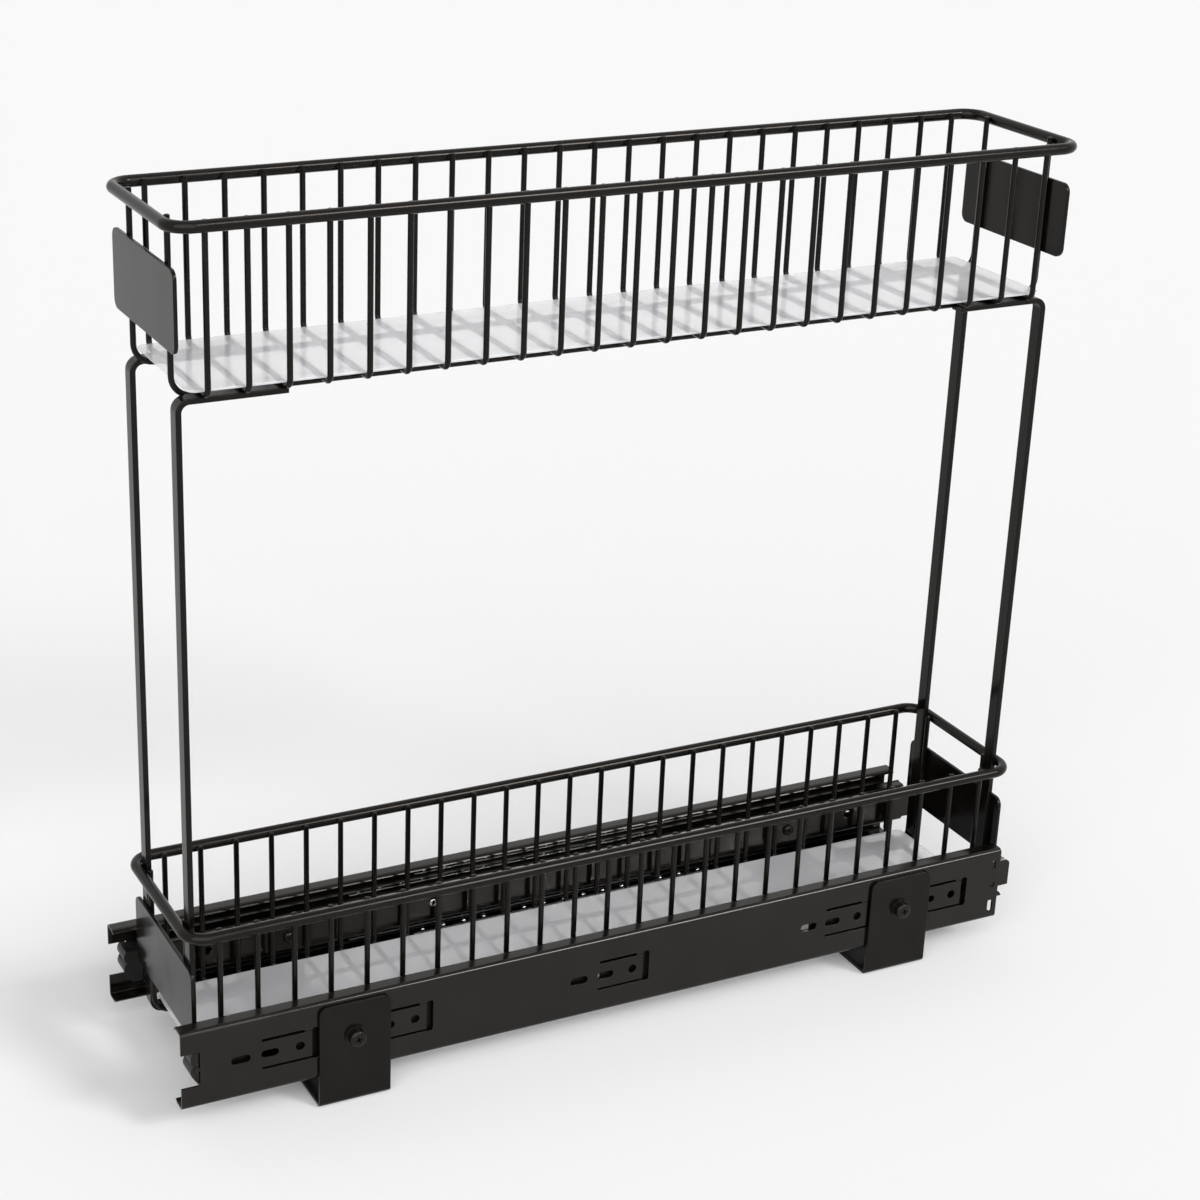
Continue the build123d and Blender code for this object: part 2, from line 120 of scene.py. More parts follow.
# Rims: a closed ring of 6 mm steel rod round the top of each basket, bent at the corners and butt-welded,
# under the black powder coat that all the wire and sheet parts of the basket have.
def coat(name, colour, lighter, roughness, peel, grain, gloss):
    """A sprayed or baked coat: its grain is in metres, its peel the height of the bumps."""
    made = bpy.data.materials.new(name)
    made.use_nodes = True
    nodes, links = made.node_tree.nodes, made.node_tree.links
    shader = nodes["Principled BSDF"]
    place = nodes.new("ShaderNodeTexCoord")
    blotch = nodes.new("ShaderNodeTexNoise")
    blotch.inputs["Scale"].default_value = 45
    blotch.inputs["Detail"].default_value = 5
    tint = nodes.new("ShaderNodeValToRGB")
    tint.color_ramp.elements[0].position = 0.35
    tint.color_ramp.elements[0].color = (*colour, 1)
    tint.color_ramp.elements[1].position = 0.7
    tint.color_ramp.elements[1].color = (*lighter, 1)
    skin = nodes.new("ShaderNodeTexNoise")
    skin.inputs["Scale"].default_value = 1 / grain
    skin.inputs["Detail"].default_value = 3
    rough = nodes.new("ShaderNodeMapRange")
    rough.inputs["From Min"].default_value = 0.3
    rough.inputs["From Max"].default_value = 0.7
    rough.inputs["To Min"].default_value = roughness - 0.06
    rough.inputs["To Max"].default_value = roughness + 0.06
    bump = nodes.new("ShaderNodeBump")
    bump.inputs["Strength"].default_value = 0.6
    bump.inputs["Distance"].default_value = peel
    links.new(place.outputs["Object"], blotch.inputs["Vector"])
    links.new(place.outputs["Object"], skin.inputs["Vector"])
    links.new(blotch.outputs["Fac"], tint.inputs["Fac"])
    links.new(tint.outputs["Color"], shader.inputs["Base Color"])
    links.new(blotch.outputs["Fac"], rough.inputs["Value"])
    links.new(rough.outputs["Result"], shader.inputs["Roughness"])
    links.new(skin.outputs["Fac"], bump.inputs["Height"])
    links.new(bump.outputs["Normal"], shader.inputs["Normal"])
    shader.inputs["Specular IOR Level"].default_value = gloss
    shader.inputs["Specular Tint"].default_value = (1, 0.93, 0.87, 1)
    return made


def points_in(geom):
    """The points among what an operator made."""
    return [g for g in geom if isinstance(g, bmesh.types.BMVert)]


def ends(geom):
    """The open edges at the front of what was just drawn or turned."""
    return [g for g in geom if isinstance(g, bmesh.types.BMEdge) and g.is_boundary]


def turned_to(place, heading):
    """Puts a flat shape at a place, facing along heading."""
    turned = Vector((0, 0, 1)).rotation_difference(Vector(heading)).to_matrix().to_4x4()
    return Matrix.Translation(place) @ turned


def start_round(bm, diameter, sides, place, heading):
    """The round end of a wire or rod, facing along heading."""
    matrix = turned_to(place, heading)
    made = bmesh.ops.create_circle(bm, segments=sides, radius=diameter / 2, matrix=matrix)
    return list({edge for vert in made["verts"] for edge in vert.link_edges})


def draw(bm, front, step):
    """Draws the open front on by a straight step."""
    made = bmesh.ops.extrude_edge_only(bm, edges=front)["geom"]
    bmesh.ops.translate(bm, verts=points_in(made), vec=step)
    return ends(made)


def bend(bm, front, middle, axis, degrees, steps):
    """Bends the open front round a middle."""
    verts = list({vert for edge in front for vert in edge.verts})
    made = bmesh.ops.spin(
        bm, geom=verts + front, cent=middle, axis=axis, angle=math.radians(degrees), steps=steps,
        use_duplicate=False
    )
    return ends(made["geom_last"])


def middle_of(node):
    """The middle of a node's box."""
    low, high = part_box(node)
    return (low + high) / 2


def closed_up(bm):
    """Closes the seams and turns the faces outwards."""
    bmesh.ops.remove_doubles(bm, verts=bm.verts, dist=0.002 * mm)
    bmesh.ops.recalc_face_normals(bm, faces=bm.faces)


def finish_piece(bm, name, material, body, replaced, sharp=35, broken=0):
    """Closes the seams, makes the object with its edges broken or sharp, and lets it ride on its body in
    place of the plain solids."""
    closed_up(bm)
    mesh = bpy.data.meshes.new(name)
    bm.to_mesh(mesh)
    bm.free()
    mesh.shade_smooth()
    mesh.materials.append(material)
    piece = bpy.data.objects.new(name, mesh)
    bpy.context.scene.collection.objects.link(piece)
    if broken:
        edge = piece.modifiers.new("broken_edges", "BEVEL")
        edge.limit_method = "ANGLE"
        edge.angle_limit = math.radians(50)
        edge.width = broken
        edge.segments = 2
    else:
        mesh.set_sharp_from_angle(angle=math.radians(sharp))
    even = piece.modifiers.new("even_shading", "WEIGHTED_NORMAL")
    even.keep_sharp = True
    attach(piece, body)
    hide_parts(*replaced)


powder_coat = coat(
    "black_powder_coat", (0.003, 0.0026, 0.0022), (0.005, 0.0044, 0.0038),
    roughness=0.16, peel=0.02 * mm, grain=0.7 * mm, gloss=0.19
)
tiers = ("lower", "upper")
rod = 6 * mm
rod_sides = 24
rim_bend = 11 * mm
for tier in tiers:
    low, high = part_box(f"{tier}_rim")
    centre = middle_of(f"{tier}_rim")
    x = (high.x - low.x) / 2 - rod / 2 - rim_bend
    y = (high.y - low.y) / 2 - rod / 2 - rim_bend
    bm = bmesh.new()
    front = start_round(bm, rod, rod_sides, centre + Vector((x + rim_bend, -y, 0)), (0, 1, 0))
    for side_x, side_y, step in (
        (1, 1, (0, 2 * y, 0)),
        (-1, 1, (-2 * x, 0, 0)),
        (-1, -1, (0, -2 * y, 0)),
        (1, -1, (2 * x, 0, 0)),
    ):
        front = draw(bm, front, step)
        front = bend(bm, front, centre + Vector((side_x * x, side_y * y, 0)), (0, 0, 1), 90, steps=10)
    finish_piece(bm, f"{tier}_rim_rod", powder_coat, "basket_frame", [f"{tier}_rim"])


# Cross wires: 24 U-shaped 3 mm wires in each basket, spot-welded inside the rim, with their cut tips
# just under the top of the rod and a small squeezed bead at each weld.
def tip(bm, front, middle, heading, reach):
    """Closes a wire's cut end as a low dome."""
    for share, narrower in ((0.55, 0.86), (0.45, 0.6)):
        front = draw(bm, front, heading * reach * share)
        middle = middle + heading * reach * share
        verts = list({vert for edge in front for vert in edge.verts})
        bmesh.ops.scale(bm, verts=verts, vec=(narrower,) * 3, space=Matrix.Translation(-middle))
    bmesh.ops.edgeloop_fill(bm, edges=front)


def bent_wire(bm, middle, reach, top, bottom, radius, steps):
    """A wire bent into a U: down at one side of its middle, across, and up again at the other side."""
    up = Vector((0, 0, 1))
    axis = reach.cross(up).normalized()
    corner = reach - reach.normalized() * radius
    rise = up * (top - bottom - radius)
    first = start_round(bm, wire, wire_sides, middle - reach + up * top, -up)
    front = draw(bm, first, -rise)
    front = bend(bm, front, middle - corner + up * (bottom + radius), axis, 90, steps)
    front = draw(bm, front, 2 * corner)
    front = bend(bm, front, middle + corner + up * (bottom + radius), axis, 90, steps)
    front = draw(bm, front, rise)
    tip(bm, front, middle + reach + up * top, up, tip_rise)
    tip(bm, first, middle - reach + up * top, up, tip_rise)


def bead(bm, place, length, height):
    """A weld bead: a small flattened blob, longer along X."""
    matrix = Matrix.Translation(place) @ Matrix.Diagonal((length / 2, height / 2, height / 2, 1))
    bmesh.ops.create_uvsphere(bm, u_segments=8, v_segments=6, radius=1, matrix=matrix)


wire = 3 * mm
wire_sides = 16
basket_depth = 81.5 * mm
cross_bend = 4 * mm
tip_rise = 0.5 * mm
tip_start = 1.5 * mm
cross_count = 24
first_wire = 14.2 * mm
weld_length = 3.4 * mm
weld_height = 2.4 * mm
weld_drop = 0.2 * mm
low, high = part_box("lower_rim")
basket_x = (low.x + high.x) / 2
inner_x = high.x - basket_x - rod
inner_y = high.y - rod
pitch = 2 * (inner_x - first_wire) / (cross_count - 1)
cross_places = [basket_x - inner_x + first_wire + i * pitch for i in range(cross_count)]
for tier in tiers:
    rim_z = middle_of(f"{tier}_rim").z
    top = rim_z + rod / 2 - tip_start
    reach = Vector((0, inner_y - wire / 2, 0))
    bm = bmesh.new()
    for x in cross_places:
        bent_wire(bm, Vector((x, 0, 0)), reach, top, rim_z - basket_depth, cross_bend, steps=6)
        for side in (-1, 1):
            bead(bm, (x, side * inner_y, rim_z - weld_drop), weld_length, weld_height)
    finish_piece(
        bm, f"{tier}_basket_wires", powder_coat, "basket_frame", [f"{tier}_cross_wires"]
    )


# Long wires: two 3 mm wires run the length of each basket under the cross wires and rise inside the
# rim's ends; they are welded at every crossing.
long_bend = 10 * mm
long_y = 28 * mm
crossing_length = 2.4 * mm
crossing_height = 1.6 * mm
for tier in tiers:
    rim_z = middle_of(f"{tier}_rim").z
    top = rim_z + rod / 2 - tip_start
    bottom = rim_z - basket_depth - wire
    reach = Vector((inner_x - wire / 2, 0, 0))
    bm = bmesh.new()
    for y in (-long_y, long_y):
        bent_wire(bm, Vector((basket_x, y, 0)), reach, top, bottom, long_bend, steps=8)
        for x in cross_places:
            bead(bm, (x, y, bottom + wire / 2), crossing_length, crossing_height)
    finish_piece(bm, f"{tier}_floor_wires", powder_coat, "basket_frame", [f"{tier}_long_wires"])


# End plates: plain pieces of 2 mm sheet with rounded corners and broken edges, welded across both ends of
# each basket, outside the end wires and the uprights.
def eased(bm, geom, size, segments, affect="EDGES"):
    """Rounds edges, or the corners of a flat shape."""
    return bmesh.ops.bevel(
        bm, geom=geom, offset=size, offset_type="OFFSET", segments=segments, profile=0.5, affect=affect,
        material=-1
    )


def block(bm, middle, size):
    """A plain block."""
    matrix = Matrix.Translation(middle) @ Matrix.Diagonal((*size, 1))
    return bmesh.ops.create_cube(bm, size=1, matrix=matrix)["verts"]


def edges_along(verts, axis):
    """The edges of a block that run along an axis, 0 to 2."""
    edges = {edge for vert in verts for edge in vert.link_edges}
    return [edge for edge in edges if abs((edge.verts[1].co - edge.verts[0].co).normalized()[axis]) > 0.9]


def plate(bm, low, high, across, corner, broken):
    """A flat plate between two corners: its outline is rounded about the axis across, its edges broken."""
    low, high = Vector(low), Vector(high)
    verts = block(bm, (low + high) / 2, high - low)
    rounded = eased(bm, edges_along(verts, across), corner, segments=6)
    verts = {vert for face in rounded["faces"] for vert in face.verts}
    touching = 0.0001 * mm
    outline = []
    for edge in {edge for vert in verts for edge in vert.link_edges}:
        a, b = (vert.co[across] for vert in edge.verts)
        if abs(a - b) < touching and min(abs(a - low[across]), abs(a - high[across])) < touching:
            outline.append(edge)
    eased(bm, outline, broken, segments=2)


plate_corner = 5 * mm
plate_ease = 0.35 * mm
for tier in tiers:
    for end in ("front", "rear"):
        node = f"{tier}_{end}_plate"
        bm = bmesh.new()
        plate(bm, *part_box(node), across=0, corner=plate_corner, broken=plate_ease)
        finish_piece(bm, f"{node}_sheet", powder_coat, "basket_frame", [node], sharp=50)


# Uprights: four 8 x 3 mm flat bars carry the upper basket. Each is bent at both ends into a tab that is
# welded under a basket's floor wires.
def start_bar(bm, thickness, width, ease, place, heading):
    """The rolled, slightly rounded end of a flat bar whose width is along Y, facing along heading."""
    matrix = turned_to(place, heading) @ Matrix.Diagonal((thickness, width, 1, 1))
    bmesh.ops.create_grid(bm, x_segments=1, y_segments=1, size=0.5, matrix=matrix)
    eased(bm, bm.verts[:], ease, segments=3, affect="VERTICES")
    front = [edge for edge in bm.edges if edge.is_boundary]
    bmesh.ops.delete(bm, geom=bm.faces[:], context="FACES_ONLY")
    return front


bar_thickness = 3 * mm
bar_ease = 0.5 * mm
bar_bend = 5.5 * mm
for end_name, end in (("front", 1), ("rear", -1)):
    for side_name in ("left", "right"):
        node = f"{end_name}_{side_name}_upright"
        low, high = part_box(node)
        y = (low.y + high.y) / 2
        outer = (high.x if end > 0 else -low.x) - bar_thickness / 2
        inner = low.x if end > 0 else -high.x
        turn_x = end * (outer - bar_bend)
        bottom = low.z + bar_thickness / 2
        top = high.z - bar_thickness / 2
        tab = Vector((turn_x - end * inner, 0, 0))
        bm = bmesh.new()
        first = start_bar(bm, bar_thickness, high.y - low.y, bar_ease, (end * inner, y, bottom), (end, 0, 0))
        front = draw(bm, first, tab)
        front = bend(bm, front, (turn_x, y, bottom + bar_bend), (0, -end, 0), 90, steps=8)
        front = draw(bm, front, (0, 0, top - bottom - 2 * bar_bend))
        front = bend(bm, front, (turn_x, y, top - bar_bend), (0, -end, 0), 90, steps=8)
        front = draw(bm, front, -tab)
        bmesh.ops.edgeloop_fill(bm, edges=front)
        bmesh.ops.edgeloop_fill(bm, edges=first)
        finish_piece(bm, f"{node}_bar", powder_coat, "basket_frame", [node], sharp=50)


# Liners: a frosted polypropylene sheet lies loose on the floor wires of each basket and keeps small
# things from falling through. The wires show through it as soft dark lines.
frosted = bpy.data.materials.new("frosted_polypropylene")
frosted.use_nodes = True
nodes, links = frosted.node_tree.nodes, frosted.node_tree.links
shader = nodes["Principled BSDF"]
place = nodes.new("ShaderNodeTexCoord")
haze = nodes.new("ShaderNodeTexNoise")
haze.inputs["Scale"].default_value = 30
haze.inputs["Detail"].default_value = 6
tint = nodes.new("ShaderNodeValToRGB")
tint.color_ramp.elements[0].position = 0.3
tint.color_ramp.elements[0].color = (0.94, 0.945, 0.97, 1)
tint.color_ramp.elements[1].position = 0.7
tint.color_ramp.elements[1].color = (0.97, 0.97, 0.985, 1)
frost = nodes.new("ShaderNodeTexNoise")
frost.inputs["Scale"].default_value = 2500
frost.inputs["Detail"].default_value = 2
rough = nodes.new("ShaderNodeMapRange")
rough.inputs["To Min"].default_value = 0.05
rough.inputs["To Max"].default_value = 0.15
bump = nodes.new("ShaderNodeBump")
bump.inputs["Strength"].default_value = 0.5
bump.inputs["Distance"].default_value = 0.01 * mm
links.new(place.outputs["Object"], haze.inputs["Vector"])
links.new(place.outputs["Object"], frost.inputs["Vector"])
links.new(haze.outputs["Fac"], tint.inputs["Fac"])
links.new(tint.outputs["Color"], shader.inputs["Base Color"])
links.new(frost.outputs["Fac"], rough.inputs["Value"])
links.new(rough.outputs["Result"], shader.inputs["Roughness"])
links.new(frost.outputs["Fac"], bump.inputs["Height"])
links.new(bump.outputs["Normal"], shader.inputs["Normal"])
shader.inputs["Transmission Weight"].default_value = 0.3
shader.inputs["Alpha"].default_value = 0.52
shader.inputs["IOR"].default_value = 1.49
liner_corner = 4 * mm
liner_ease = 0.25 * mm
for tier in tiers:
    bm = bmesh.new()
    plate(bm, *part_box(f"{tier}_liner"), across=2, corner=liner_corner, broken=liner_ease)
    finish_piece(
        bm, f"{tier}_liner_sheet", frosted, "basket_frame", [f"{tier}_liner"], sharp=50
    )


# Cabinet sections: the outer sections of the slides, roll-formed from 1.2 mm strip with the top and bottom
# curled over the balls, punched with springy screw tongues and slots, and dipped in a glossy black coat.
# From here on, sizes without mm are millimetres, as point takes them.
def point(inwards, up, x=0):
    """A point on the right slide, in millimetres inwards from its outer face and up from its middle."""
    return Vector((x, slide_y - inwards * mm, slide_z + up * mm))


def start_line(bm, place):
    """Starts a sheet's line."""
    return bmesh.ops.create_vert(bm, co=place)["vert"][0]


def onward(bm, end, step):
    """Carries a sheet's line straight on."""
    made = bmesh.ops.extrude_vert_indiv(bm, verts=[end])["verts"]
    bmesh.ops.translate(bm, verts=made, vec=step)
    return made[0]


def roll(bm, end, middle, degrees, steps):
    """Carries a sheet's line on round a bend along the slide."""
    made = bmesh.ops.spin(
        bm, geom=[end], cent=middle, axis=(-1, 0, 0), angle=math.radians(degrees), steps=steps,
        use_duplicate=False
    )
    return points_in(made["geom_last"])[0]


def doubled(bm):
    """Adds the section's lower half, the mirror image of its upper half."""
    matrix = Matrix.Translation((0, 0, -slide_z))
    bmesh.ops.mirror(bm, geom=bm.verts[:] + bm.edges[:], matrix=matrix, merge_dist=seam, axis="Z")
    bmesh.ops.remove_doubles(bm, verts=bm.verts, dist=seam)


def drawn_out(bm, rear, front):
    """Draws a sheet's line out along X."""
    bmesh.ops.translate(bm, verts=bm.verts, vec=(rear, 0, 0))
    made = bmesh.ops.extrude_edge_only(bm, edges=bm.edges[:])["geom"]
    bmesh.ops.translate(bm, verts=points_in(made), vec=(front - rear, 0, 0))
    bmesh.ops.recalc_face_normals(bm, faces=bm.faces)


def punched(bm, tool, thickness=0):
    """Punches the tool's shapes out of a piece; a surface first gets its thickness to both sides."""
    shapes = []
    for made in (bm, tool):
        mesh = bpy.data.meshes.new("blank")
        made.to_mesh(mesh)
        made.free()
        shapes.append(bpy.data.objects.new("blank", mesh))
        bpy.context.scene.collection.objects.link(shapes[-1])
    if thickness:
        wall = shapes[0].modifiers.new("wall", "SOLIDIFY")
        wall.thickness = thickness
        wall.offset = 0
        wall.use_even_offset = True
    cut = shapes[0].modifiers.new("cut", "BOOLEAN")
    cut.operation = "DIFFERENCE"
    cut.solver = "EXACT"
    cut.use_self = True
    cut.object = shapes[1]
    result = bpy.data.meshes.new_from_object(shapes[0].evaluated_get(bpy.context.evaluated_depsgraph_get()))
    bm = bmesh.new()
    bm.from_mesh(result)
    for shape in shapes:
        bpy.data.objects.remove(shape)
    return bm


def slot_punch(tool, place, length, height, corner):
    """A slot through a web; its corners are rounded."""
    verts = block(tool, place, Vector((length, punch_depth, height)) * mm)
    eased(tool, edges_along(verts, axis=1), corner * mm, segments=5)


def round_punch(tool, place, diameter, upright=False):
    """A round hole through a web, or through a flange."""
    radius = diameter / 2 * mm
    matrix = Matrix.Translation(place) @ rotation("X", 0 if upright else 90)
    bmesh.ops.create_cone(
        tool, cap_ends=True, segments=24, radius1=radius, radius2=radius, depth=punch_depth * mm,
        matrix=matrix
    )


def finish_pair(bm, name, material, body, node, broken=0):
    """The right-hand piece and its mirror image on the left."""
    other = bm.copy()
    bmesh.ops.scale(other, verts=other.verts, vec=(1, -1, 1))
    for side, made in (("right", bm), ("left", other)):
        rides_on = body.replace("side", side)
        finish_piece(made, f"{side}_{name}", material, rides_on, [f"{side}_{node}"], broken=broken)


slide_coat = coat(
    "black_slide_coat", (0.002, 0.0018, 0.0015), (0.004, 0.0035, 0.003),
    roughness=0.16, peel=0.004 * mm, grain=0.6 * mm, gloss=0.33
)
seam = 0.01 * mm
cut_edge = 0.12 * mm
punch_depth = 5
slide_z = 39.5 * mm
low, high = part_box("right_cabinet_member")
slide_y = high.y
cabinet_rear = low.x
cabinet_front = high.x
saddle_places = [middle_of(f"{end}_saddle_bracket").x for end in ("rear", "front")]
strip = 1.2
web_bend = 1.8
ball_row = 7.4
outer_row = 19.3
race = 2.6
race_wrap = 65
flange = outer_row + race
bm = bmesh.new()
end = start_line(bm, point(strip / 2, 0))
end = onward(bm, end, (0, 0, (flange - web_bend) * mm))
end = roll(bm, end, point(strip / 2 + web_bend, flange - web_bend), -90, steps=6)
end = onward(bm, end, (0, -(ball_row - strip / 2 - web_bend) * mm, 0))
end = roll(bm, end, point(ball_row, outer_row), -race_wrap, steps=6)
doubled(bm)
drawn_out(bm, cabinet_rear, cabinet_front)

# Each slot's place ahead of the tongue's hole and above it, its length and height, and its corners
tongue_hole = 4.9
tongue_slots = {
    "pilot slot behind the hole": (-16.5, 0, 9.6, 4.2, 2.05),
    "slit above": (-9.3, 8.3, 23.4, 1.6, 0.4),
    "its narrow end": (4.6, 7.8, 5.2, 0.3, 0.1),
    "slit below": (-6.4, -8.2, 29.2, 1.3, 0.4),
    "window ahead of the hole": (8.4, 0, 3.8, 18.4, 1.5),
}
screw_hole = 4.5
tool = bmesh.new()
tongues = [cabinet_front - setback * mm for setback in (33.2, 97.5, 242.5)]
tongues += [cabinet_rear + setback * mm for setback in (128.5, 64.2)]
for x in tongues:
    round_punch(tool, point(0, 0, x), tongue_hole)
    for ahead, up, length, height, corner in tongue_slots.values():
        slot_punch(tool, point(0, up, x + ahead * mm), length, height, corner)
web_slots = (cabinet_front - 129.8 * mm, cabinet_front - 275 * mm, cabinet_rear + 31.9 * mm)
for x in web_slots:
    slot_punch(tool, point(0, 0, x), length=10.4, height=4.4, corner=2.15)
for x in saddle_places:
    round_punch(tool, point(0, 0, x), screw_hole)
# A hole and two windows at the front end, and the bumper's notch at the rear end
end_x = cabinet_front - 4.5 * mm
round_punch(tool, point(0, 0, end_x), 3.6)
slot_punch(tool, point(0, 13, end_x), length=2.5, height=5, corner=0.5)
slot_punch(tool, point(0, -14, end_x), length=3.2, height=7.6, corner=0.6)
notch_length = 10
notch_height = 19.6
slot_punch(tool, point(0, 0, cabinet_rear), length=2 * notch_length, height=notch_height, corner=1)
bm = punched(bm, tool, strip * mm)
finish_pair(bm, "outer_section", slide_coat, "floor_mount", "cabinet_member", broken=cut_edge)


# Middle sections: rolled from the same strip with a groove for each pair of ball rows, one outside and one
# inside, and an access slot near each end; they ride in the cabinet sections and carry the drawer sections.
inner_row = 14.1
web_gap = 1.4
slope = 45
low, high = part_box("right_intermediate_member")
web = strip + web_gap + strip / 2
lean = math.sin(math.radians(slope))
shoulder = (ball_row - web - race * lean) / (1 + lean)
shoulder_height = outer_row - (race + shoulder) * lean
bm = bmesh.new()
end = start_line(bm, point(web, 0))
end = onward(bm, end, (0, 0, shoulder_height * mm))
end = roll(bm, end, point(web + shoulder, shoulder_height), -90 - slope, steps=8)
end = roll(bm, end, point(ball_row, outer_row), slope, steps=5)
end = roll(bm, end, point(ball_row, inner_row), -race_wrap, steps=6)
doubled(bm)
drawn_out(bm, low.x, high.x)
access_slots = (low.x + 37 * mm, high.x - 26 * mm)
tool = bmesh.new()
for x in access_slots:
    slot_punch(tool, point(web, 0, x), length=22, height=9, corner=4.4)
bm = punched(bm, tool, strip * mm)
middle_coat = coat(
    "greased_black_coat", (0.002, 0.0018, 0.0016), (0.004, 0.0036, 0.0032),
    roughness=0.3, peel=0.004 * mm, grain=0.6 * mm, gloss=0.12
)
finish_pair(
    bm, "middle_section", middle_coat, "side_intermediate", "intermediate_member",
    broken=cut_edge
)


# Drawer sections: the inner sections, whose flanges cradle the inner balls; the web runs on into a rounded
# tab at the front. The baskets' lugs are screwed to them.
slide_thickness = 12.7
drawer_flange = inner_row - race
drawer_lip = 45
drawer_hole = 5
tab_low = -9.7
tab_high = 6.5
tab_length = 9
tab_corner = 2.5
lug_length = 28 * mm
low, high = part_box("right_drawer_member")
lug_low, lug_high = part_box("basket_lugs")
lug_places = (lug_low.x + lug_length / 2, lug_high.x - lug_length / 2)
rivet_x = high.x - 328.5 * mm
web = slide_thickness - strip / 2
bm = bmesh.new()
end = start_line(bm, point(web, 0))
end = onward(bm, end, (0, 0, (drawer_flange - web_bend) * mm))
end = roll(bm, end, point(web - web_bend, drawer_flange - web_bend), 90, steps=6)
end = onward(bm, end, (0, (web - web_bend - ball_row) * mm, 0))
end = roll(bm, end, point(ball_row, inner_row), -drawer_lip, steps=5)
doubled(bm)
drawn_out(bm, low.x, high.x)
holes = [(high.x - 49.8 * mm, drawer_hole), (low.x + 36.3 * mm, drawer_hole)]
holes += [(x, screw_hole) for x in lug_places]
tool = bmesh.new()
for x, diameter in holes:
    round_punch(tool, point(web, 0, x), diameter)
# What is above and below the front tab is cut off
cut_depth = 16
cut_reach = 25
for cut_low, cut_high in ((tab_high, cut_reach), (-cut_reach, tab_low)):
    middle = point(cut_depth / 2, (cut_low + cut_high) / 2, high.x)
    block(tool, middle, Vector((2 * tab_length, cut_depth, cut_high - cut_low)) * mm)
bm = punched(bm, tool, strip * mm)
front_edges = [edge for edge in bm.edges if min(vert.co.x for vert in edge.verts) > high.x - seam]
corners = [edge for edge in front_edges if abs(edge.verts[0].co.z - edge.verts[1].co.z) < seam]
eased(bm, corners, tab_corner * mm, segments=5)
finish_pair(bm, "inner_section", slide_coat, "basket_frame", "drawer_member", broken=cut_edge)


# Ball cages: channels of thin steel strip, one between each two sections of a slide, with a round pocket
# for every ball in both flanges and four windows in the web.
def ball_places(row, row_height):
    """The middles of the balls in a cage, two for each pocket place: the one below and the one above."""
    low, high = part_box(f"right_{row}_cage")
    ball_pitch = (high.x - low.x) / ball_count
    for i in range(ball_count):
        for side in (-1, 1):
            yield point(ball_row, side * row_height, low.x + (i + 0.5) * ball_pitch)


cage_coat = coat(
    "bare_cage_steel", (0.18, 0.175, 0.17), (0.3, 0.295, 0.285),
    roughness=0.26, peel=0.004 * mm, grain=0.8 * mm, gloss=0.5
)
cage_coat.node_tree.nodes["Principled BSDF"].inputs["Metallic"].default_value = 1
ball = 3.5
ball_count = 15
pocket = ball + 0.6
cage_sheet = 0.7
cage_bend = 0.9
cage_edge = 10
outer_cage_web = strip + 0.7
inner_cage_web = 2 * strip + 2.05
window_places = (-57, -21, 15, 51)
window_length = 30
window_margin = 3
for row, row_height, web in (("outer", outer_row, outer_cage_web), ("inner", inner_row, inner_cage_web)):
    low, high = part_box(f"right_{row}_cage")
    bm = bmesh.new()
    end = start_line(bm, point(web, 0))
    end = onward(bm, end, (0, 0, (row_height - cage_bend) * mm))
    end = roll(bm, end, point(web + cage_bend, row_height - cage_bend), -90, steps=4)
    end = onward(bm, end, (0, -(cage_edge - web - cage_bend) * mm, 0))
    doubled(bm)
    drawn_out(bm, low.x, high.x)
    tool = bmesh.new()
    for place in ball_places(row, row_height):
        round_punch(tool, place, pocket, upright=True)
    for x in window_places:
        place = point(web, 0, (low.x + high.x) / 2 + x * mm)
        slot_punch(tool, place, window_length, 2 * (row_height - window_margin), corner=2)
    bm = punched(bm, tool, cage_sheet * mm)
    finish_pair(bm, f"{row}_ball_cage", cage_coat, f"side_{row}_ball_train", f"{row}_cage")


# Balls: hardened and polished steel, lightly greased, fifteen to a row, with one row above and one below
# in each cage.
polished = bpy.data.materials.new("polished_ball_steel")
polished.use_nodes = True
nodes, links = polished.node_tree.nodes, polished.node_tree.links
shader = nodes["Principled BSDF"]
place = nodes.new("ShaderNodeTexCoord")
grease = nodes.new("ShaderNodeTexNoise")
grease.inputs["Scale"].default_value = 400
film = nodes.new("ShaderNodeMapRange")
film.inputs["To Min"].default_value = 0.03
film.inputs["To Max"].default_value = 0.14
links.new(place.outputs["Object"], grease.inputs["Vector"])
links.new(grease.outputs["Fac"], film.inputs["Value"])
links.new(film.outputs["Result"], shader.inputs["Roughness"])
shader.inputs["Base Color"].default_value = (0.5, 0.5, 0.5, 1)
shader.inputs["Metallic"].default_value = 1
for row, row_height in (("outer", outer_row), ("inner", inner_row)):
    bm = bmesh.new()
    for middle in ball_places(row, row_height):
        matrix = Matrix.Translation(middle)
        bmesh.ops.create_icosphere(bm, subdivisions=2, radius=ball / 2 * mm, matrix=matrix)
    finish_pair(bm, f"{row}_steel_balls", polished, f"side_{row}_ball_train", f"{row}_balls")


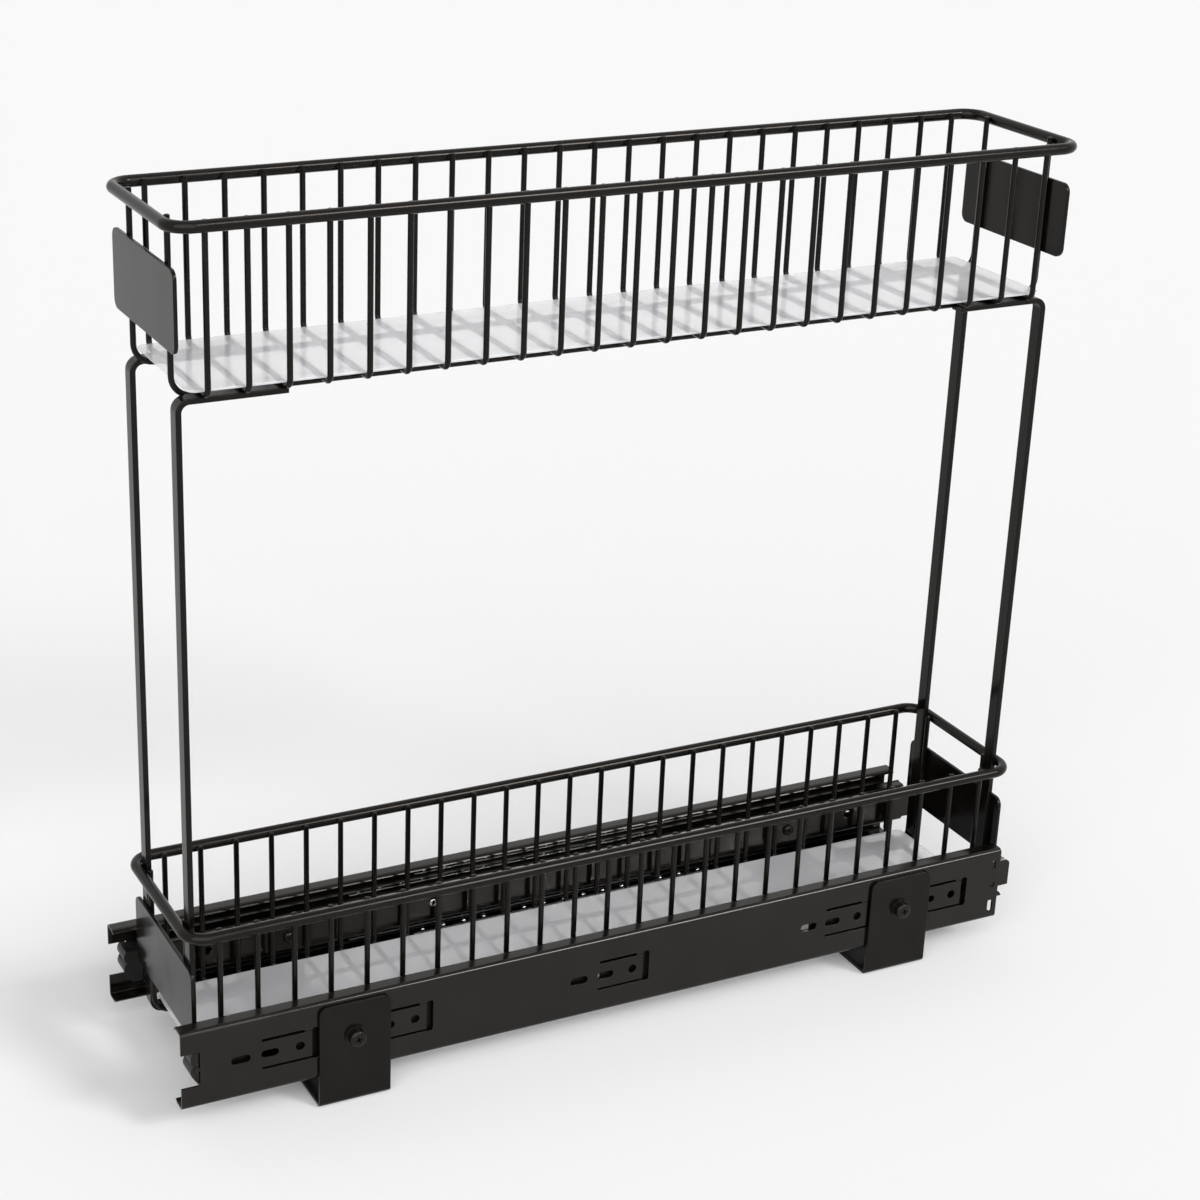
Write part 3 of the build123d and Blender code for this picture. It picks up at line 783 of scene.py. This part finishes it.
# Rear bumpers: black moulded plugs that snap into the notches at the cabinet sections' rear ends and stop
# the middle sections; each has two lobes at its rear end and a round button on its outer face.
def stop_outline(bm, nose, inwards):
    """The outline of the plug, with two lobes at the back and its lower rear corner cut off."""
    first = start_line(bm, point(inwards, -bumper_height / 2, nose))
    end = onward(bm, first, (bumper_rear + corner_length * mm - nose, 0, 0))
    end = onward(bm, end, (-corner_length * mm, 0, corner_height * mm))
    lobe = (bumper_height - corner_height) / 2
    lobe_round = (lobe**2 / 4 + lobe_depth**2) / 2 / lobe_depth
    turn = 2 * math.asin(lobe / 2 / lobe_round)
    for i in range(2):
        middle = end.co + Vector((lobe_round - lobe_depth, 0, lobe / 2)) * mm
        made = bmesh.ops.spin(
            bm, geom=[end], cent=middle, axis=(0, 1, 0), angle=turn, steps=6, use_duplicate=False
        )
        end = points_in(made["geom_last"])[0]
    end = onward(bm, end, (nose - bumper_rear, 0, 0))
    bmesh.ops.contextual_create(bm, geom=[end, first])


def add_copy(bm, part, matrix=Matrix.Identity(4)):
    """Adds a copy of a finished part, put in its place."""
    mesh = bpy.data.meshes.new("copy")
    part.to_mesh(mesh)
    mesh.transform(matrix)
    bm.from_mesh(mesh)


plastic = coat(
    "black_moulded_plastic", (0.004, 0.004, 0.004), (0.007, 0.007, 0.007),
    roughness=0.36, peel=0.015 * mm, grain=0.4 * mm, gloss=0.25
)
bumper_height = 19
bumper_inset = 5
bumper_depth = 12.4
plug_nose = 15.5
notch_nose = 9.2
notch_depth = 1.5
corner_length = 3
corner_height = 4.5
lobe_depth = 1.4
bumper_rear = cabinet_rear + (bumper_inset + lobe_depth) * mm
bm = bmesh.new()
# The plug inside the section, and the shorter part of it that fills the notch in the web
for nose, outside, inside in ((plug_nose, notch_depth, bumper_depth), (notch_nose, 0, notch_depth)):
    layer = bmesh.new()
    stop_outline(layer, cabinet_rear + nose * mm, outside)
    bmesh.ops.edgeloop_fill(layer, edges=layer.edges[:])
    made = bmesh.ops.extrude_face_region(layer, geom=layer.faces[:])["geom"]
    bmesh.ops.translate(layer, verts=points_in(made), vec=(0, (outside - inside) * mm, 0))
    add_copy(bm, layer)
    layer.free()
button_base = 1.7 * mm
button_top = 1.45 * mm
button_depth = 1.4 * mm
button_matrix = Matrix.Translation(point(0.2, 0, cabinet_rear + 8.4 * mm)) @ rotation("X", -90)
bmesh.ops.create_cone(
    bm, cap_ends=True, segments=20, radius1=button_base, radius2=button_top, depth=button_depth,
    matrix=button_matrix
)
finish_pair(bm, "end_stop", plastic, "floor_mount", "rear_bumper", broken=0.3 * mm)


# Saddles: two brackets of 2 mm steel, each bent up at both sides and screwed to the cabinet floor; the
# slides are screwed to the inside of their sides.
saddle_sheet = 2 * mm
saddle_bend = 2 * mm
saddle_corner = 5 * mm
floor_hole = 5
floor_hole_y = 40 * mm
for end_name, x in zip(("rear", "front"), saddle_places):
    node = f"{end_name}_saddle_bracket"
    low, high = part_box(node)
    side_y = high.y - saddle_sheet / 2
    turn_y = side_y - saddle_bend
    turn_z = saddle_bend + saddle_sheet / 2
    bm = bmesh.new()
    end = start_line(bm, (0, -side_y, high.z))
    end = onward(bm, end, (0, 0, turn_z - high.z))
    end = roll(bm, end, (0, -turn_y, turn_z), -90, steps=6)
    end = onward(bm, end, (0, 2 * turn_y, 0))
    end = roll(bm, end, (0, turn_y, turn_z), -90, steps=6)
    end = onward(bm, end, (0, 0, high.z - turn_z))
    drawn_out(bm, low.x, high.x)
    tops = [vert for vert in bm.verts if vert.co.z > high.z - seam]
    eased(bm, tops, saddle_corner, segments=8, affect="VERTICES")
    tool = bmesh.new()
    for side in (-1, 1):
        round_punch(tool, Vector((x, side * side_y, slide_z)), screw_hole)
        round_punch(tool, Vector((x, side * floor_hole_y, saddle_sheet / 2)), floor_hole, upright=True)
    bm = punched(bm, tool, saddle_sheet)
    finish_piece(bm, f"{end_name}_saddle", powder_coat, "floor_mount", [node], broken=0.3 * mm)


# Bracket screws and washers: black flat-topped machine screws with a cross recess, each over a flat washer,
# through the saddles' sides into the cabinet sections.
def turned_part(profile, steps=28):
    """A turned part: its profile, as radius and height in millimetres, spun about its axis."""
    bm = bmesh.new()
    end = start_line(bm, (profile[0][0] * mm, 0, profile[0][1] * mm))
    for before, after in zip(profile, profile[1:]):
        end = onward(bm, end, ((after[0] - before[0]) * mm, 0, (after[1] - before[1]) * mm))
    bmesh.ops.spin(
        bm, geom=bm.verts[:] + bm.edges[:], cent=(0, 0, 0), axis=(0, 0, 1), angle=math.tau, steps=steps,
        use_merge=True, use_duplicate=False
    )
    closed_up(bm)
    return bm


def cross_recessed(bm, top, span, width, depth):
    """Presses a tapered cross into a screw's head."""
    tool = bmesh.new()
    size = Matrix.Diagonal((span * mm, width * mm, 2 * depth * mm, 1))
    cross_turn = 20
    narrowed = 0.35
    for turn in (cross_turn, cross_turn + 90):
        matrix = rotation("Z", turn) @ Matrix.Translation((0, 0, top * mm)) @ size
        made = bmesh.ops.create_cube(tool, size=1, matrix=matrix)
        lowest = [vert for vert in made["verts"] if vert.co.z < top * mm]
        bmesh.ops.scale(tool, verts=lowest, vec=(narrowed, narrowed, 1))
    return punched(bm, tool)


black_steel = coat(
    "black_screw_steel", (0.003, 0.003, 0.0027), (0.006, 0.0057, 0.0054),
    roughness=0.2, peel=0.006 * mm, grain=0.35 * mm, gloss=0.22
)
screw_shape = [
    (0, 4), (3, 4), (3.9, 3.8), (4.5, 3.3), (4.75, 2.5), (4.75, 0),
    (2, 0), (2, -4), (1.7, -4.2), (0, -4.2),
]
screw = cross_recessed(turned_part(screw_shape), top=4, span=5.2, width=1.3, depth=2.4)
washer_thickness = 1
washer_rim = 6
washer_hole = screw_hole / 2
washer_shape = [
    (washer_hole, 0), (washer_rim, 0), (washer_rim, washer_thickness),
    (washer_hole, washer_thickness), (washer_hole, 0),
]
washer = turned_part(washer_shape, steps=36)
screws = bmesh.new()
washers = bmesh.new()
for x in saddle_places:
    for side in (-1, 1):
        seat = Matrix.Translation((x, side * (slide_y + saddle_sheet), slide_z)) @ rotation("X", -side * 90)
        add_copy(washers, washer, seat)
        add_copy(screws, screw, seat @ Matrix.Translation((0, 0, washer_thickness * mm)))
for bm, name, node in (
    (screws, "pan_head_screws", "bracket_screws"),
    (washers, "flat_washers", "bracket_washers"),
):
    finish_piece(bm, name, black_steel, "floor_mount", [node], broken=cut_edge)


# Lugs: small plates welded to two neighbouring cross wires on each side of the lower basket, with a screw
# from inside the basket through each into the drawer section.
lug_corner = 2 * mm
lug_ease = 0.3 * mm
lug_outer = slide_y - slide_thickness * mm
lug_screw_shape = [
    (0, 2.2), (1.5, 2.15), (2.6, 1.75), (3.3, 1), (3.5, 0),
    (2, 0), (2, -5.7), (1.7, -6), (0, -6),
]
lug_screw = cross_recessed(turned_part(lug_screw_shape, steps=20), top=2.2, span=3.6, width=0.8, depth=1.5)
bm = bmesh.new()
screws = bmesh.new()
for x in lug_places:
    for side in (-1, 1):
        near, far = sorted((side * inner_y, side * lug_outer))
        low = (x - lug_length / 2, near, lug_low.z)
        high = (x + lug_length / 2, far, lug_high.z)
        lug = bmesh.new()
        plate(lug, low, high, across=1, corner=lug_corner, broken=lug_ease)
        add_copy(bm, lug)
        lug.free()
        seat = Matrix.Translation((x, side * inner_y, slide_z)) @ rotation("X", side * 90)
        add_copy(screws, lug_screw, seat)
finish_piece(bm, "mounting_lugs", powder_coat, "basket_frame", ["basket_lugs"], sharp=50)
finish_piece(
    screws, "lug_pan_screws", black_steel, "basket_frame", ["lug_screws"], broken=0.08 * mm
)


# Drawer rivets: a bright tubular steel rivet in each drawer section's web, rolled over to a low dome on
# the side towards the basket.
rivet_shape = [
    (0, 0.35), (0.9, 0.6), (1.7, 0.5), (2.15, 0.1),
    (2.15, -1.3), (1.7, -1.7), (0.9, -1.8), (0, -1.5),
]
rivet = turned_part(rivet_shape, steps=20)
bm = bmesh.new()
for side in (-1, 1):
    seat = Matrix.Translation((rivet_x, side * lug_outer, slide_z)) @ rotation("X", side * 90)
    add_copy(bm, rivet, seat)
finish_piece(bm, "bright_rivets", polished, "basket_frame", ["drawer_rivets"])
